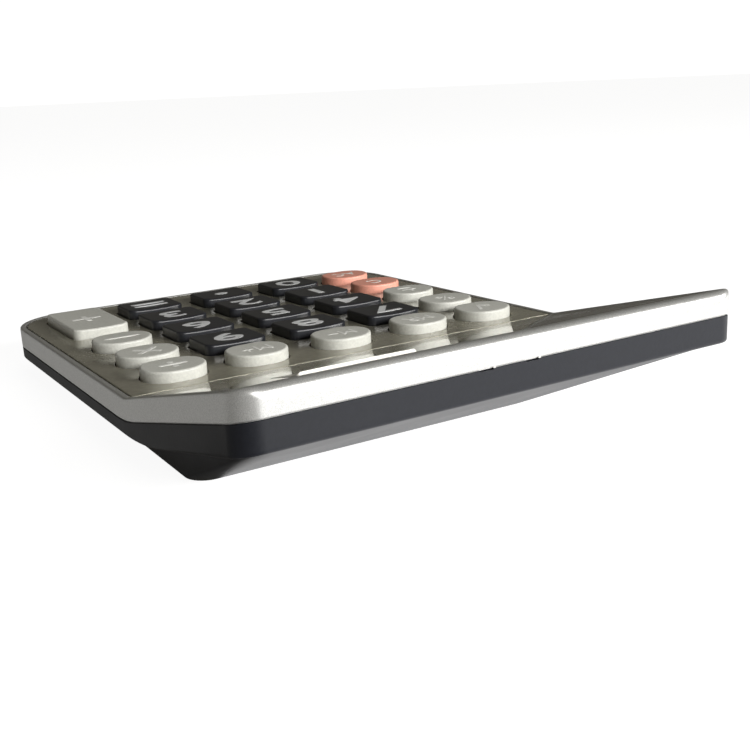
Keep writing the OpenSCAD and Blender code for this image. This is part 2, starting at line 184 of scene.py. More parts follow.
def new_object(name, bm, place=None, smooth_angle=35):
    """Object from a bmesh built in millimetres, with smooth faces and sharp edges."""
    bmesh.ops.remove_doubles(bm, verts=bm.verts, dist=MERGE)
    bmesh.ops.recalc_face_normals(bm, faces=bm.faces)
    if bm.calc_volume(signed=True) < 0:
        bmesh.ops.reverse_faces(bm, faces=bm.faces)
    mesh = bpy.data.meshes.new(name)
    bm.to_mesh(mesh)
    bm.free()
    if place is not None:
        mesh.transform(place)
    shade(mesh, smooth_angle)
    obj = bpy.data.objects.new(name, mesh)
    bpy.context.scene.collection.objects.link(obj)
    return obj


def shade(mesh, smooth_angle=35):
    mesh.shade_smooth()
    mesh.set_sharp_from_angle(angle=math.radians(smooth_angle))


def loft(bm, rings, closed_start=None, closed_end=None):
    """Skin through rings of the same number of points.

    An end is closed by "strips" across the ring, which pair its right and left halves, or by a
    "fan" of one face.
    """
    loops = [[bm.verts.new(p) for p in ring] for ring in rings]
    for a, b in zip(loops, loops[1:]):
        for i in range(len(a)):
            j = (i + 1) % len(a)
            bm.faces.new((a[i], a[j], b[j], b[i]))
    for loop, how in ((loops[0], closed_start), (loops[-1], closed_end)):
        if how == "strips":
            n = len(loop)
            for i in range(n // 2 - 1):
                bm.faces.new((loop[i], loop[i + 1], loop[n - 2 - i], loop[n - 1 - i]))
        if how == "fan":
            bm.faces.new(loop)
    return loops


def half_outline(half_w, y0, y1, r0, r1, stations):
    """Right half of a rounded outline as x, y, from the user's edge round to the display's."""
    points = []
    for i in range(ARC + 1):
        a = math.pi / 2 * (i / ARC - 1)
        points.append((half_w - r0 + r0 * math.cos(a), y0 + r0 + r0 * math.sin(a)))
    for share in stations:
        points.append((half_w, y0 + r0 + (y1 - r1 - y0 - r0) * share))
    for i in range(ARC + 1):
        a = math.pi / 2 * i / ARC
        points.append((half_w - r1 + r1 * math.cos(a), y1 - r1 + r1 * math.sin(a)))
    return points


def whole(right, left=None):
    """Closed ring from a right half and a left half given on the right-hand side."""
    return right + [(-x, y) for x, y in reversed(left or right)]


SIDE_SPAN = (FRONT_Y + FRONT_R, END_Y - END_R)


def share_of(y):
    return (y - SIDE_SPAN[0]) / (SIDE_SPAN[1] - SIDE_SPAN[0])


# Shares of the straight side at which a ring has points, closest together where the case bends
STATIONS = [share_of(y) for y in (-52, -38, -24, -12, -4, 0, 2.4, 4.4, 6.4, 7.6, 8.3, 8.8, 9.3, 10, 11.4,
                                  13.4, 15.4, 17.6, 20, 22, 24.4, 26.4, 31, 36, 41)]


def case_ring(inset, height, end_inset=None):
    """Ring round the case, moved in by inset, with its height from a function of y."""
    d = [inset if end_inset is None else inset + (end_inset - inset) * w for w in end_weights()]
    right = half_outline(HALF_W, FRONT_Y, END_Y, FRONT_R, END_R, STATIONS)
    normals = half_normals()
    right = [(x - k * nx, y - k * ny) for (x, y), (nx, ny), k in zip(right, normals, d)]
    return [Vector((x, y, height(y))) for x, y in whole(right)]


def half_normals():
    """Outward directions at the points of a case ring's right half."""
    arc = [math.pi / 2 * (i / ARC - 1) for i in range(ARC + 1)]
    side = [0.0] * len(STATIONS)
    end = [math.pi / 2 * i / ARC for i in range(ARC + 1)]
    return [(math.cos(a), math.sin(a)) for a in arc + side + end]


def end_weights():
    """0 along the sides, rising to 1 round the display end's corners."""
    return [0.0] * (ARC + 1 + len(STATIONS)) + [(i / ARC) ** 2 for i in range(ARC + 1)]


def edge_radii(side_r, end_r):
    """Radius of a cover's rounded edge at each point of a case ring."""
    half = [side_r + (end_r - side_r) * w for w in end_weights()]
    return half + half[::-1]


def bezier(a, b, c, steps):
    """Rings along a quadratic curve from ring a towards corner ring b and on to ring c."""
    rings = []
    for k in range(steps + 1):
        t = k / steps
        rings.append([p * (1 - t) ** 2 + q * 2 * t * (1 - t) + r * t * t for p, q, r in zip(a, b, c)])
    return rings


def boolean(target, cutter, operation, crossing=False):
    """Applies a boolean and removes the cutter. With crossing, a mesh may have faces that cross."""
    bpy.context.view_layer.update()
    modifier = target.modifiers.new("cut", "BOOLEAN")
    modifier.solver = "EXACT"
    modifier.use_self = crossing
    modifier.operation = operation
    modifier.object = cutter
    bake(target)
    mesh = cutter.data
    bpy.data.objects.remove(cutter)
    bpy.data.meshes.remove(mesh)
    return target


def bake(obj):
    """Replaces an object's mesh by its modifiers' result."""
    graph = bpy.context.evaluated_depsgraph_get()
    mesh = bpy.data.meshes.new_from_object(obj.evaluated_get(graph))
    mesh.name = obj.name
    obj.modifiers.clear()
    old = obj.data
    obj.data = mesh
    bpy.data.meshes.remove(old)


def mend(mesh):
    """Merges the near-double vertices that a boolean leaves and fills the slits between them."""
    bm = bmesh.new()
    bm.from_mesh(mesh)
    bmesh.ops.remove_doubles(bm, verts=bm.verts, dist=MERGE * MM / 2)
    bmesh.ops.holes_fill(bm, edges=[e for e in bm.edges if e.is_boundary], sides=4)
    bm.to_mesh(mesh)
    bm.free()


def polish(obj, bevel=0.0, smooth_angle=35):
    """Small rounded edges and even shading."""
    if bevel:
        modifier = obj.modifiers.new("edges", "BEVEL")
        modifier.width = bevel * MM
        modifier.segments = 3
        modifier.limit_method = "ANGLE"
        modifier.angle_limit = math.radians(40)
        modifier.harden_normals = False
        bake(obj)
    shade(obj.data, smooth_angle)
    normals = obj.modifiers.new("normals", "WEIGHTED_NORMAL")
    normals.keep_sharp = True
    return obj


def prism(bm, outline, z0, z1):
    """Closed prism over an outline of x, y points, in millimetres."""
    low = [bm.verts.new((x, y, z0)) for x, y in outline]
    high = [bm.verts.new((x, y, z1)) for x, y in outline]
    bm.faces.new(list(reversed(low)))
    bm.faces.new(high)
    for i in range(len(low)):
        j = (i + 1) % len(low)
        bm.faces.new((low[i], low[j], high[j], high[i]))


def circle(radius, x=0.0, y=0.0, n=32):
    return [(x + radius * math.cos(2 * math.pi * i / n), y + radius * math.sin(2 * math.pi * i / n))
            for i in range(n)]


def rounded(w, d, r, x=0.0, y=0.0, bow=0.0, n=8):
    """Rounded rectangle, counter-clockwise. Its edges along x bulge by bow, inside its depth."""
    points = []
    for sx, sy, start in ((1, -1, -90), (1, 1, 0), (-1, 1, 90), (-1, -1, 180)):
        for i in range(n + 1):
            a = math.radians(start + 90 * i / n)
            points.append((sx * (w / 2 - r) + r * math.cos(a), sy * (d / 2 - r) + r * math.sin(a)))
        if start in (0, 180):
            for i in range(1, n):
                points.append(((w / 2 - r) * (1 - 2 * i / n) * sx, sy * d / 2))
    if bow:
        points = [(px, py * (1 - bow / (d / 2) * (2 * px / w) ** 2)) for px, py in points]
    return [(x + px, y + py) for px, py in points]


def over(lo, hi, r, grow=0.0):
    """Rounded rectangle over the span of a box, wider and deeper by grow."""
    return rounded(hi.x - lo.x + grow, hi.y - lo.y + grow, r, (lo.x + hi.x) / 2, (lo.y + hi.y) / 2)


def coat(obj, made):
    """Gives an object one material."""
    obj.data.materials.clear()
    obj.data.materials.append(made)


def attach(obj, body, slot_name, *replaced):
    """Puts an object on a body, in place of the CAD nodes that it replaces. The slot's name is not used."""
    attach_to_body(obj, body)
    if replaced:
        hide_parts(*replaced)
    return obj


# ---------------------------------------------------------------------------------------------
# Camera, floor, backdrop and lights

CAMERA_AT = (87.46, 164.99, 56.35)     # millimetres, like the point aimed at
AIM_AT = (5.66, 29.28, 10.34)
CAMERA_ROLL = -2.55                    # degrees


def make_camera():
    data = bpy.data.cameras.new("camera")
    data.lens = 48.96
    data.sensor_width = 36
    data.clip_start = 0.01
    camera = bpy.data.objects.new("camera", data)
    bpy.context.scene.collection.objects.link(camera)
    place = Vector(CAMERA_AT) * MM
    look = (Vector(AIM_AT) * MM - place).to_track_quat("-Z", "Y")
    turn = look.to_matrix().to_4x4() @ Matrix.Rotation(math.radians(CAMERA_ROLL), 4, "Z")
    camera.matrix_world = Matrix.Translation(place) @ turn
    bpy.context.scene.camera = camera


def area_light(name, place, aim, size, radiance, colour=(1, 1, 1), mirrored=True):
    """Rectangular light, in metres. One that isn't mirrored leaves no reflection in glossy surfaces."""
    data = bpy.data.lights.new(name, "AREA")
    data.shape = "RECTANGLE"
    data.size, data.size_y = size
    data.energy = radiance * math.pi * size[0] * size[1]
    data.color = colour
    light = bpy.data.objects.new(name, data)
    light.location = place
    light.rotation_euler = (Vector(aim) - Vector(place)).to_track_quat("-Z", "Y").to_euler()
    light.visible_camera = False
    light.visible_glossy = mirrored
    bpy.context.scene.collection.objects.link(light)
    return light


def make_stage():
    """Pale floor, and a backdrop that only the camera sees."""
    floor_bm = bmesh.new()
    bmesh.ops.create_grid(floor_bm, x_segments=8, y_segments=8, size=6)
    floor = new_object("floor", floor_bm)
    floor.data.materials.append(stage_material("floor_paint", (0.3, 0.3, 0.3), 0.93))
    floor.visible_glossy = False
    dome_bm = bmesh.new()
    bmesh.ops.create_uvsphere(dome_bm, u_segments=48, v_segments=24, radius=5.5)
    dome = new_object("backdrop", dome_bm)
    dome.data.materials.append(stage_material("backdrop_paint", (0, 0, 0), 1.05))
    dome.visible_glossy = False
    dome.visible_diffuse = False
    dome.visible_transmission = False
    dome.visible_shadow = False


def stage_material(name, colour, glow):
    """Matt paint with a glow of its own."""
    made = material(name, colour, 0.9, specular=0.1)
    shader = made.node_tree.nodes["Principled BSDF"]
    shader.inputs["Emission Color"].default_value = (1, 1, 1, 1)
    shader.inputs["Emission Strength"].default_value = glow
    return made


def make_lights():
    world = bpy.data.worlds.new("world")
    world.use_nodes = True
    background = world.node_tree.nodes["Background"]
    background.inputs["Color"].default_value = (0.93, 0.88, 0.76, 1)
    background.inputs["Strength"].default_value = 0.1
    bpy.context.scene.world = world
    area_light("softbox", (-0.3, 0.68, 0.27), (-0.02, 0, 0.02), (0.8, 0.18), 22, (1, 0.995, 0.98))
    area_light("floor_card", (-0.25, 0.342, 0.0003), (-0.25, 0.342, 1), (0.57, 0.626), 1.3)
    area_light("side_card", (0.27, -0.3, 0.001), (0.27, -0.3, 1), (0.45, 0.65), 0.18)
    area_light("overhead", (-0.1, -0.1, 0.9), (0, 0, 0), (0.5, 0.5), 0.5, (0.97, 0.98, 1), mirrored=False)


# ---------------------------------------------------------------------------------------------
# Materials

def material(name, colour, roughness, metallic=0.0, specular=0.5):
    """Plain principled material, for the functions below to add detail to."""
    made = bpy.data.materials.new(name)
    made.use_nodes = True
    shader = made.node_tree.nodes["Principled BSDF"]
    shader.inputs["Base Color"].default_value = (*colour, 1)
    shader.inputs["Roughness"].default_value = roughness
    shader.inputs["Metallic"].default_value = metallic
    shader.inputs["Specular IOR Level"].default_value = specular
    return made


def node(made, kind, **values):
    """Adds a node, with values for its sockets or its properties."""
    found = made.node_tree.nodes.new(kind)
    for key, value in values.items():
        if key in found.inputs:
            found.inputs[key].default_value = value
        else:
            setattr(found, key, value)
    return found


def link(made, source, output, target, socket):
    made.node_tree.links.new(source.outputs[output], target.inputs[socket])


def noise(made, scale, detail=2.0, rough=0.5):
    """Noise over the object's own coordinates, which are metres."""
    coordinates = node(made, "ShaderNodeTexCoord")
    texture = node(made, "ShaderNodeTexNoise", Scale=scale, Detail=detail, Roughness=rough)
    link(made, coordinates, "Object", texture, "Vector")
    return texture


def vary_colour(made, texture, colour, spread, low=0.35, high=0.65):
    """Drives the base colour between two shades of a colour."""
    ramp_node = node(made, "ShaderNodeValToRGB")
    ramp_node.color_ramp.elements[0].position = low
    ramp_node.color_ramp.elements[1].position = high
    ramp_node.color_ramp.elements[0].color = (*(c * (1 - spread) for c in colour), 1)
    ramp_node.color_ramp.elements[1].color = (*(min(1, c * (1 + spread)) for c in colour), 1)
    link(made, texture, "Fac", ramp_node, "Fac")
    link(made, ramp_node, "Color", made.node_tree.nodes["Principled BSDF"], "Base Color")


def vary_roughness(made, texture, low, high):
    """Drives the roughness between two values."""
    span = node(made, "ShaderNodeMapRange")
    span.inputs["To Min"].default_value = low
    span.inputs["To Max"].default_value = high
    link(made, texture, "Fac", span, "Value")
    link(made, span, "Result", made.node_tree.nodes["Principled BSDF"], "Roughness")


def add_bump(made, texture, strength, depth_mm):
    bump = node(made, "ShaderNodeBump", Strength=strength, Distance=depth_mm * MM)
    link(made, texture, "Fac", bump, "Height")
    link(made, bump, "Normal", made.node_tree.nodes["Principled BSDF"], "Normal")


def silver_paint():
    made = material("silver_paint", (0.6, 0.6, 0.585), 0.33, metallic=0.7)
    flakes = noise(made, 9000, 1.0)
    vary_colour(made, flakes, (0.6, 0.6, 0.585), 0.16)
    vary_roughness(made, noise(made, 60, 3.0), 0.28, 0.38)
    add_bump(made, flakes, 0.25, 0.01)
    return made


def gunmetal():
    made = material("gunmetal", (0.33, 0.315, 0.25), 0.12, metallic=0.4)
    vary_colour(made, noise(made, 900, 2.0), (0.33, 0.315, 0.25), 0.06)
    vary_roughness(made, noise(made, 120, 4.0), 0.09, 0.16)
    return made


def textured_plastic(name, colour, roughness, grain=1500, depth=0.03, specular=0.5):
    made = material(name, colour, roughness, specular=specular)
    fine = noise(made, grain, 2.0)
    vary_colour(made, fine, colour, 0.06)
    vary_roughness(made, noise(made, 90, 3.0), roughness - 0.05, roughness + 0.07)
    add_bump(made, fine, 0.5, depth)
    return made


def clear_plastic(name, tint, roughness=0.05):
    made = material(name, tint, roughness)
    shader = made.node_tree.nodes["Principled BSDF"]
    shader.inputs["Transmission Weight"].default_value = 1.0
    shader.inputs["IOR"].default_value = 1.49
    vary_roughness(made, noise(made, 150, 3.0), roughness * 0.6, roughness * 1.6)
    return made


# ---------------------------------------------------------------------------------------------
# Sizes and styles of the keys

KEYS = [name for name in frame["nodes"] if name.startswith("key_")]
SQUARE_KEYS = [f"key_{digit}" for digit in range(10)] + ["key_point", "key_equals"]
CORAL_KEYS = ["key_c", "key_on"]
KEY_LO, KEY_HI = extents("key_8")
KEY_GAP = 0.25
FLANGE_W = 0.7
FLANGE_T = 0.5
CORNER_R = 1.4                         # of a square or tall key
CAP_FILLET = 0.45
CAP_WALL = 1
CAP_HOLLOW = 2.5                       # from the flange to the roof of the cap's hollow
STEM_R = 1.8


def key_style(name):
    if name in SQUARE_KEYS:
        return "square"
    if name in CORAL_KEYS:
        return "coral"
    return "tall" if name == "key_plus" else "oval"


def key_slot(name):
    return {"square": "black_key", "coral": "coral_key"}.get(key_style(name), "grey_key")


def key_size(name):
    """Middle and size of a key's cap above its flange."""
    lo, hi = extents(name)
    middle = (lo + hi) / 2
    return middle.x, middle.y, hi.x - lo.x - 2 * FLANGE_W, hi.y - lo.y - 2 * FLANGE_W


def key_radius(name):
    return CORNER_R if key_style(name) in ("square", "tall") else key_size(name)[3] / 2 - 0.2


# ---------------------------------------------------------------------------------------------
# Covers

def aperture_cutters():
    """A hole for each key, through the plate and the deck under it."""
    bm = bmesh.new()
    for name in KEYS:
        x, y, w, d = key_size(name)
        outline = rounded(w + 2 * KEY_GAP, d + 2 * KEY_GAP, key_radius(name) + KEY_GAP, x, y)
        prism(bm, outline, DECK_BOTTOM - 1, 3)
    return new_object("apertures", bm, KEYBOARD)


def case_screws():
    """Middle of each case screw and the height of its head's underside, read from the CAD screws."""
    lo, hi = extents("case_screws")
    points = [KEYBOARD.inverted() @ v.co for v in frame["nodes"]["case_screws"].data.vertices]
    spots = []
    for sx in (-1, 1):
        for sy in (-1, 1):
            near = [p for p in points if p.x * sx > 0 and (p.y - (lo.y + hi.y) / 2) * sy > 0]
            low, high = (Vector(f(p[i] for p in near) for i in range(3)) for f in (min, max))
            spots.append(((low.x + high.x) / 2, (low.y + high.y) / 2, low.z))
    return spots


def shifted(height, rise):
    """A height that is a function of y, raised by a constant."""
    return lambda y: height(y) + rise


def front_cover():
    """Silver shell: side walls, a rim round the recess, and the deck under the plate and the window."""
    side_r, end_r = 0.5, 2.1
    rim = shifted(top_z, RIM_H)
    flat = case_ring(0, rim)
    inner = case_ring(side_r, rim, end_r)
    wall = [p - Vector((0, 0, r)) for p, r in zip(flat, edge_radii(side_r, end_r))]
    recess = recess_ring(rim, 0.1)
    lip = recess_ring(shifted(rim, -0.1))
    floor_ring = recess_ring(shifted(top_z, -PLATE_T))
    bm = bmesh.new()
    rings = [case_ring(SEAM_STEP, shifted(seam_z, -2)), case_ring(SEAM_STEP, shifted(seam_z, 0.18)),
             case_ring(0.05, shifted(seam_z, 0.18)), case_ring(0, shifted(seam_z, 0.24)),
             *bezier(wall, flat, inner, 6), recess, lip, floor_ring]
    loft(bm, rings, "strips", "strips")
    cover = new_object("front_cover_shell", bm, KEYBOARD)
    boolean(cover, seam_cutter(), "DIFFERENCE")
    boolean(cover, cavity_block(), "DIFFERENCE")
    boolean(cover, aperture_cutters(), "DIFFERENCE")
    boolean(cover, display_cutters(), "DIFFERENCE")
    mend(cover.data)
    polish(cover)
    coat(cover, silver_paint())
    return attach(cover, "case", "silver_case", "front_cover")


def recess_ring(height, grow=0.0):
    """Edge of the recess that holds the keyboard plate and the display window."""
    window_end = extents("display_window", PANEL)[1].y
    end = BEND_Y + (window_end + PLATE_GAP) * math.cos(math.radians(DISPLAY_TILT))
    inset = RIM_W - grow
    w, y0, y1 = HALF_W - inset, FRONT_Y + inset, end + grow
    right = half_outline(w, y0, y1, FRONT_R - inset, RECESS_R + grow, ())
    lo_y, hi_y = y0 + FRONT_R - inset, y1 - RECESS_R - grow
    span = SIDE_SPAN[1] - SIDE_SPAN[0]
    sides = [(w, min(max(SIDE_SPAN[0] + span * share, lo_y), hi_y)) for share in STATIONS]
    right = right[:ARC + 1] + sides + right[ARC + 1:]
    return [Vector((x, y, height(y))) for x, y in whole(right)]


def seam_cutter():
    """Everything below the seam."""
    bm = bmesh.new()
    rings = [case_ring(-3, lambda y: -30), case_ring(-3, seam_z)]
    loft(bm, rings, "strips", "strips")
    return new_object("below_seam", bm, KEYBOARD)


def cavity_block():
    """Hollow of the front cover, less the screw bosses that hang from its deck."""
    bm = bmesh.new()
    rings = [case_ring(WALL, shifted(seam_z, -1)), case_ring(WALL, shifted(top_z, DECK_BOTTOM))]
    loft(bm, rings, "strips", "strips")
    block = new_object("front_hollow", bm, KEYBOARD)
    bosses = bmesh.new()
    for x, y in board_screws():
        prism(bosses, circle(BOARD_BOSS_R, x, y, 28), BOARD_TOP, 3)
    for x, y, _ in case_screws():
        prism(bosses, circle(CASE_BOSS_R, x, y, 28), seam_z(y) + CLEAR, 12)
    posts = new_object("posts", bosses, KEYBOARD)
    boolean(block, posts, "DIFFERENCE")
    pilots = bmesh.new()
    for x, y in board_screws():
        prism(pilots, circle(PILOT_R, x, y, 20), BOARD_TOP - 1, BOARD_TOP + PILOT_H)
    for x, y, _ in case_screws():
        prism(pilots, circle(PILOT_R, x, y, 20), seam_z(y) - 1, seam_z(y) + PILOT_H)
    return boolean(block, new_object("pilots", pilots, KEYBOARD), "UNION")


def board_screws():
    """Middles of the board screws, which stand in two columns of three."""
    lo, hi = extents("board_screws")
    points = [KEYBOARD.inverted() @ v.co for v in frame["nodes"]["board_screws"].data.vertices]
    middle = [p.y for p in points if lo.y + 8 < p.y < hi.y - 8]
    xs = (lo.x + SCREW_HEAD_R, hi.x - SCREW_HEAD_R)
    ys = (lo.y + SCREW_HEAD_R, (min(middle) + max(middle)) / 2, hi.y - SCREW_HEAD_R)
    return [(x, y) for x in xs for y in ys]


def display_cutters():
    """Openings of the display and of the solar cell in the deck."""
    bm = bmesh.new()
    prism(bm, over(LCD_LO, LCD_HI, 0.6), -5, 3)
    prism(bm, over(*extents("solar_window", PANEL), 0.5, 0.1), -5, 3)
    return new_object("display_openings", bm, PANEL)


def rear_cover():
    """Black shell: side walls with a rounded lower edge, and the wedge-shaped belly."""
    side_r, end_r, belly_r = 0.6, 0.7, 0.9
    corner = case_ring(0, under_z)
    wall = [p + Vector((0, 0, r)) for p, r in zip(corner, edge_radii(side_r, end_r))]
    inner = case_ring(side_r, under_z, end_r)
    root, foot, foot_in = belly_root(0), belly_foot(0), belly_foot(belly_r)
    foot_wall = [step_towards(a, b, belly_r) for a, b in zip(foot, root)]
    bm = bmesh.new()
    rings = [case_ring(LIP_OUTSIDE, shifted(seam_z, 1)), case_ring(LIP_OUTSIDE, seam_z),
             case_ring(0.1, seam_z), case_ring(0, shifted(seam_z, -0.1)),
             *bezier(wall, corner, inner, 6), root, *bezier(foot_wall, foot, foot_in, 5)]
    loft(bm, rings, "strips", "strips")
    shell = new_object("rear_cover_shell", bm, KEYBOARD)
    boolean(shell, rear_hollow(), "DIFFERENCE", crossing=True)
    boolean(shell, rear_cutters(), "DIFFERENCE")
    polish(shell)
    coat(shell, textured_plastic("black_texture", (0.009, 0.01, 0.014), 0.45, specular=0.3))
    return attach(shell, "case", "black_case", "rear_cover")


def step_towards(a, b, most):
    """Point on the way from a to b, at most a given step away and never more than nearly half way."""
    way = b - a
    return a + way.normalized() * min(most, 0.45 * way.length) if way.length > 0.01 else a


def belly_ring(inset, end, lead_radii, height):
    """Ring round the belly, with a radius of its own at each of its leading corners."""
    sides = [half_outline(BELLY_HALF - inset, BELLY_BACK_Y + inset, end - inset, BELLY_BACK_R - inset,
                          lead_r - inset, STATIONS) for lead_r in lead_radii]
    return [Vector((x, y, height(y))) for x, y in whole(*sides)]


def belly_root(inset):
    """Where the belly leaves the case's underside."""
    return belly_ring(inset, END_Y - 1, (4, 4), under_z)


def belly_foot(inset):
    """Edge of the belly's own underside."""
    return belly_ring(inset, BELLY_FRONT_Y, (BELLY_RIGHT_R, BELLY_LEFT_R), belly_z)


CELL_LO, CELL_HI = extents("battery_cell", GROUND)
CELL_MIDDLE = ((CELL_LO.x + CELL_HI.x) / 2, (CELL_LO.y + CELL_HI.y) / 2)


def rear_hollow():
    """Inside of the shell and of its belly, less the screw bosses and the battery cup."""
    upper = bmesh.new()
    rings = [case_ring(LIP_INSET, shifted(seam_z, 3)), case_ring(LIP_INSET, shifted(under_z, WALL))]
    loft(upper, rings, "strips", "strips")
    hollow = new_object("rear_hollow", upper, KEYBOARD)
    root = [p + Vector((0, 0, WALL + 0.5)) for p in belly_root(WALL)]
    foot = [p + Vector((0, 0, WALL)) for p in belly_foot(WALL)]
    lower = bmesh.new()
    loft(lower, [root, foot], "strips", "strips")
    boolean(hollow, new_object("belly_hollow", lower, KEYBOARD), "UNION", crossing=True)
    bosses = bmesh.new()
    for x, y, _ in case_screws():
        prism(bosses, circle(REAR_BOSS_R, x, y), -BELLY_ROOM, seam_z(y) - CLEAR)
    cup = bmesh.new()
    prism(cup, circle(CUP_R, *CELL_MIDDLE, 48), 0, 5)
    posts = new_object("bosses", bosses, KEYBOARD)
    cups = new_object("cup", cup, GROUND)
    boolean(hollow, posts, "DIFFERENCE")
    return boolean(hollow, cups, "DIFFERENCE")


def rear_cutters():
    """Screw holes, battery bay, pockets of the feet and the two pry notches in the seam."""
    holes = bmesh.new()
    for x, y, head_z in case_screws():
        step, head_r = head_z + SCREW_HEAD_H, SCREW_HEAD_R + HEAD_GAP
        levels = ((head_r, -BELLY_ROOM), (head_r, step), (SHAFT_R, step), (SHAFT_R, 8))
        loft(holes, [[Vector((*p, z)) for p in circle(r, x, y)] for r, z in levels], "fan", "fan")
    for x in NOTCHES:
        z = seam_z(END_Y)
        prism(holes, rounded(NOTCH_W, 1.6, 0.2, x, END_Y), z - 0.25, z + 0.5)
    cutter = new_object("case_holes", holes, KEYBOARD)
    ground = bmesh.new()
    door_lo, door_hi = extents("battery_door", GROUND)
    prism(ground, over(door_lo, door_hi, 1.0, DOOR_GAP), -1, door_hi.z)
    prism(ground, circle(CELL_BAY_R, *CELL_MIDDLE, 48), door_hi.z - 0.1, 6)
    for x, y in feet():
        prism(ground, circle(FOOT_R + 0.1, x, y, 40), -1.2, FOOT_H + 0.4)
    return boolean(cutter, new_object("ground_holes", ground, GROUND), "UNION")


def feet():
    """Middles of the four rubber feet."""
    lo, hi = extents("rubber_feet", GROUND)
    return [(x, y) for x in (lo.x + FOOT_R, hi.x - FOOT_R) for y in (lo.y + FOOT_R, hi.y - FOOT_R)]


# ---------------------------------------------------------------------------------------------
# Plate, windows and keys

def keyboard_plate():
    """Gunmetal faceplate with a hole for each key."""
    lo, hi = extents("keyboard_plate")
    right = half_outline(hi.x, lo.y, hi.y, FRONT_R - RIM_W - PLATE_GAP, 0.3, ())
    bm = bmesh.new()
    prism(bm, whole(right), lo.z, hi.z)
    plate = new_object("keyboard_faceplate", bm, KEYBOARD)
    boolean(plate, aperture_cutters(), "DIFFERENCE")
    polish(plate, 0.12)
    coat(plate, gunmetal())
    return attach(plate, "case", "gunmetal_plate", "keyboard_plate")


def display_window():
    """Clear pane over the display section, with an opening for the solar window."""
    lo, hi = extents("display_window", PANEL)
    right = half_outline(hi.x, lo.y, hi.y, 0.3, 1.1, ())
    bm = bmesh.new()
    prism(bm, whole(right), lo.z, hi.z)
    window = new_object("display_pane", bm, PANEL)
    hole = bmesh.new()
    prism(hole, over(*extents("solar_window", PANEL), 0.6, 0.3), -3, 3)
    boolean(window, new_object("solar_hole", hole, PANEL), "DIFFERENCE")
    polish(window, 0.12)
    coat(window, clear_plastic("smoked_acrylic", (0.8, 0.81, 0.8), 0.03))
    return attach(window, "case", "display_window", "display_window")


def solar_window():
    """Cream window over the solar cell, a low wedge that stands proud of the pane round it."""
    lo, hi = extents("solar_window", PANEL)
    bm = bmesh.new()
    outline = over(lo, hi, 0.5)

    def crown(x, y):
        """Height of the wedge, highest at the display end and dying away at its sides."""
        side = min(1.0, (min(x - lo.x, hi.x - x) + 0.05) / 0.5)
        return 0.02 + (hi.z - 0.12) * side * (y - lo.y) / (hi.y - lo.y)

    base = [Vector((x, y, lo.z)) for x, y in outline]
    loft(bm, [base, [Vector((x, y, crown(x, y))) for x, y in outline]], "fan", "fan")
    window = new_object("solar_pane", bm, PANEL)
    polish(window, 0.1)
    coat(window, textured_plastic("solar_acrylic", (0.93, 0.91, 0.84), 0.14, 800, 0.002))
    return attach(window, "case", "solar_window", "solar_window")


def dish_depth(name):
    return 0.18 if key_style(name) == "square" else 0.12


def top_of(name, x, y):
    """Height of a cap's top at a distance from its middle: a shallow trough along y."""
    w = key_size(name)[2]
    return KEY_HI.z - dish_depth(name) * max(0.0, 1 - (2 * x / w) ** 2)


def key_cap(name, plastic):
    """Key cap with a dished top, a flange, a hollow underside and a stem in its middle."""
    x0, y0, w, d = key_size(name)
    radius = key_radius(name)
    bow = {"square": 0.35, "tall": 0.5}.get(key_style(name), 0.0)
    bottom = KEY_LO.z

    def ring(grow, z=None, lift=0.0):
        outline = rounded(w + 2 * grow, d + 2 * grow, max(radius + grow, 0.05), 0, 0, bow if grow <= 0 else 0)
        return [Vector((x, y, top_of(name, x, y) + lift if z is None else z)) for x, y in outline]

    flange_top = bottom + FLANGE_T
    body = ring(0, lift=-CAP_FILLET)
    edge = ring(0)
    inner = ring(-CAP_FILLET)
    angles = [math.atan2(p.y / d, p.x / w) for p in body]

    def stem(z):
        return [Vector((STEM_R * math.cos(a), STEM_R * math.sin(a), z)) for a in angles]

    roof = flange_top + CAP_HOLLOW
    rings = [stem(bottom), stem(roof), ring(-CAP_WALL, roof), ring(-CAP_WALL, bottom), ring(FLANGE_W, bottom),
             ring(FLANGE_W, flange_top), ring(0, flange_top), *bezier(body, edge, inner, 5)]
    steps = 5
    for k in range(1, steps):
        share = 1 - k / steps
        spots = [(p.x * share, p.y * share) for p in inner]
        rings.append([Vector((x, y, top_of(name, x, y))) for x, y in spots])
    bm = bmesh.new()
    loops = loft(bm, rings, "fan")
    centre = bm.verts.new((0, 0, top_of(name, 0, 0)))
    last = loops[-1]
    for i in range(len(last)):
        bm.faces.new((last[i], last[(i + 1) % len(last)], centre))
    cap = new_object(name + "_cap", bm, KEYBOARD @ Matrix.Translation((x0, y0, 0)))
    normals = cap.modifiers.new("normals", "WEIGHTED_NORMAL")
    normals.keep_sharp = True
    coat(cap, plastic)
    return attach(cap, name, key_slot(name), name)


def make_keys():
    """Every key's cap, on the body that moves with it, and the legend on its top."""
    plastics = {
        "square": textured_plastic("black_key_plastic", (0.017, 0.018, 0.022), 0.3, 2600, 0.004),
        "oval": textured_plastic("grey_key_plastic", (0.62, 0.62, 0.57), 0.38, 2600, 0.004),
        "coral": textured_plastic("coral_key_plastic", (0.9, 0.4, 0.3), 0.36, 2600, 0.004),
    }
    plastics["tall"] = plastics["oval"]
    inks = {
        "square": textured_plastic("white_ink", (0.68, 0.69, 0.69), 0.5, 3000, 0.004),
        "oval": textured_plastic("pale_ink", (0.88, 0.88, 0.84), 0.5, 3000, 0.004),
    }
    inks["tall"] = inks["coral"] = inks["oval"]
    for name in KEYS:
        key_cap(name, plastics[key_style(name)])
        legend(name, *LEGENDS[name], inks[key_style(name)])


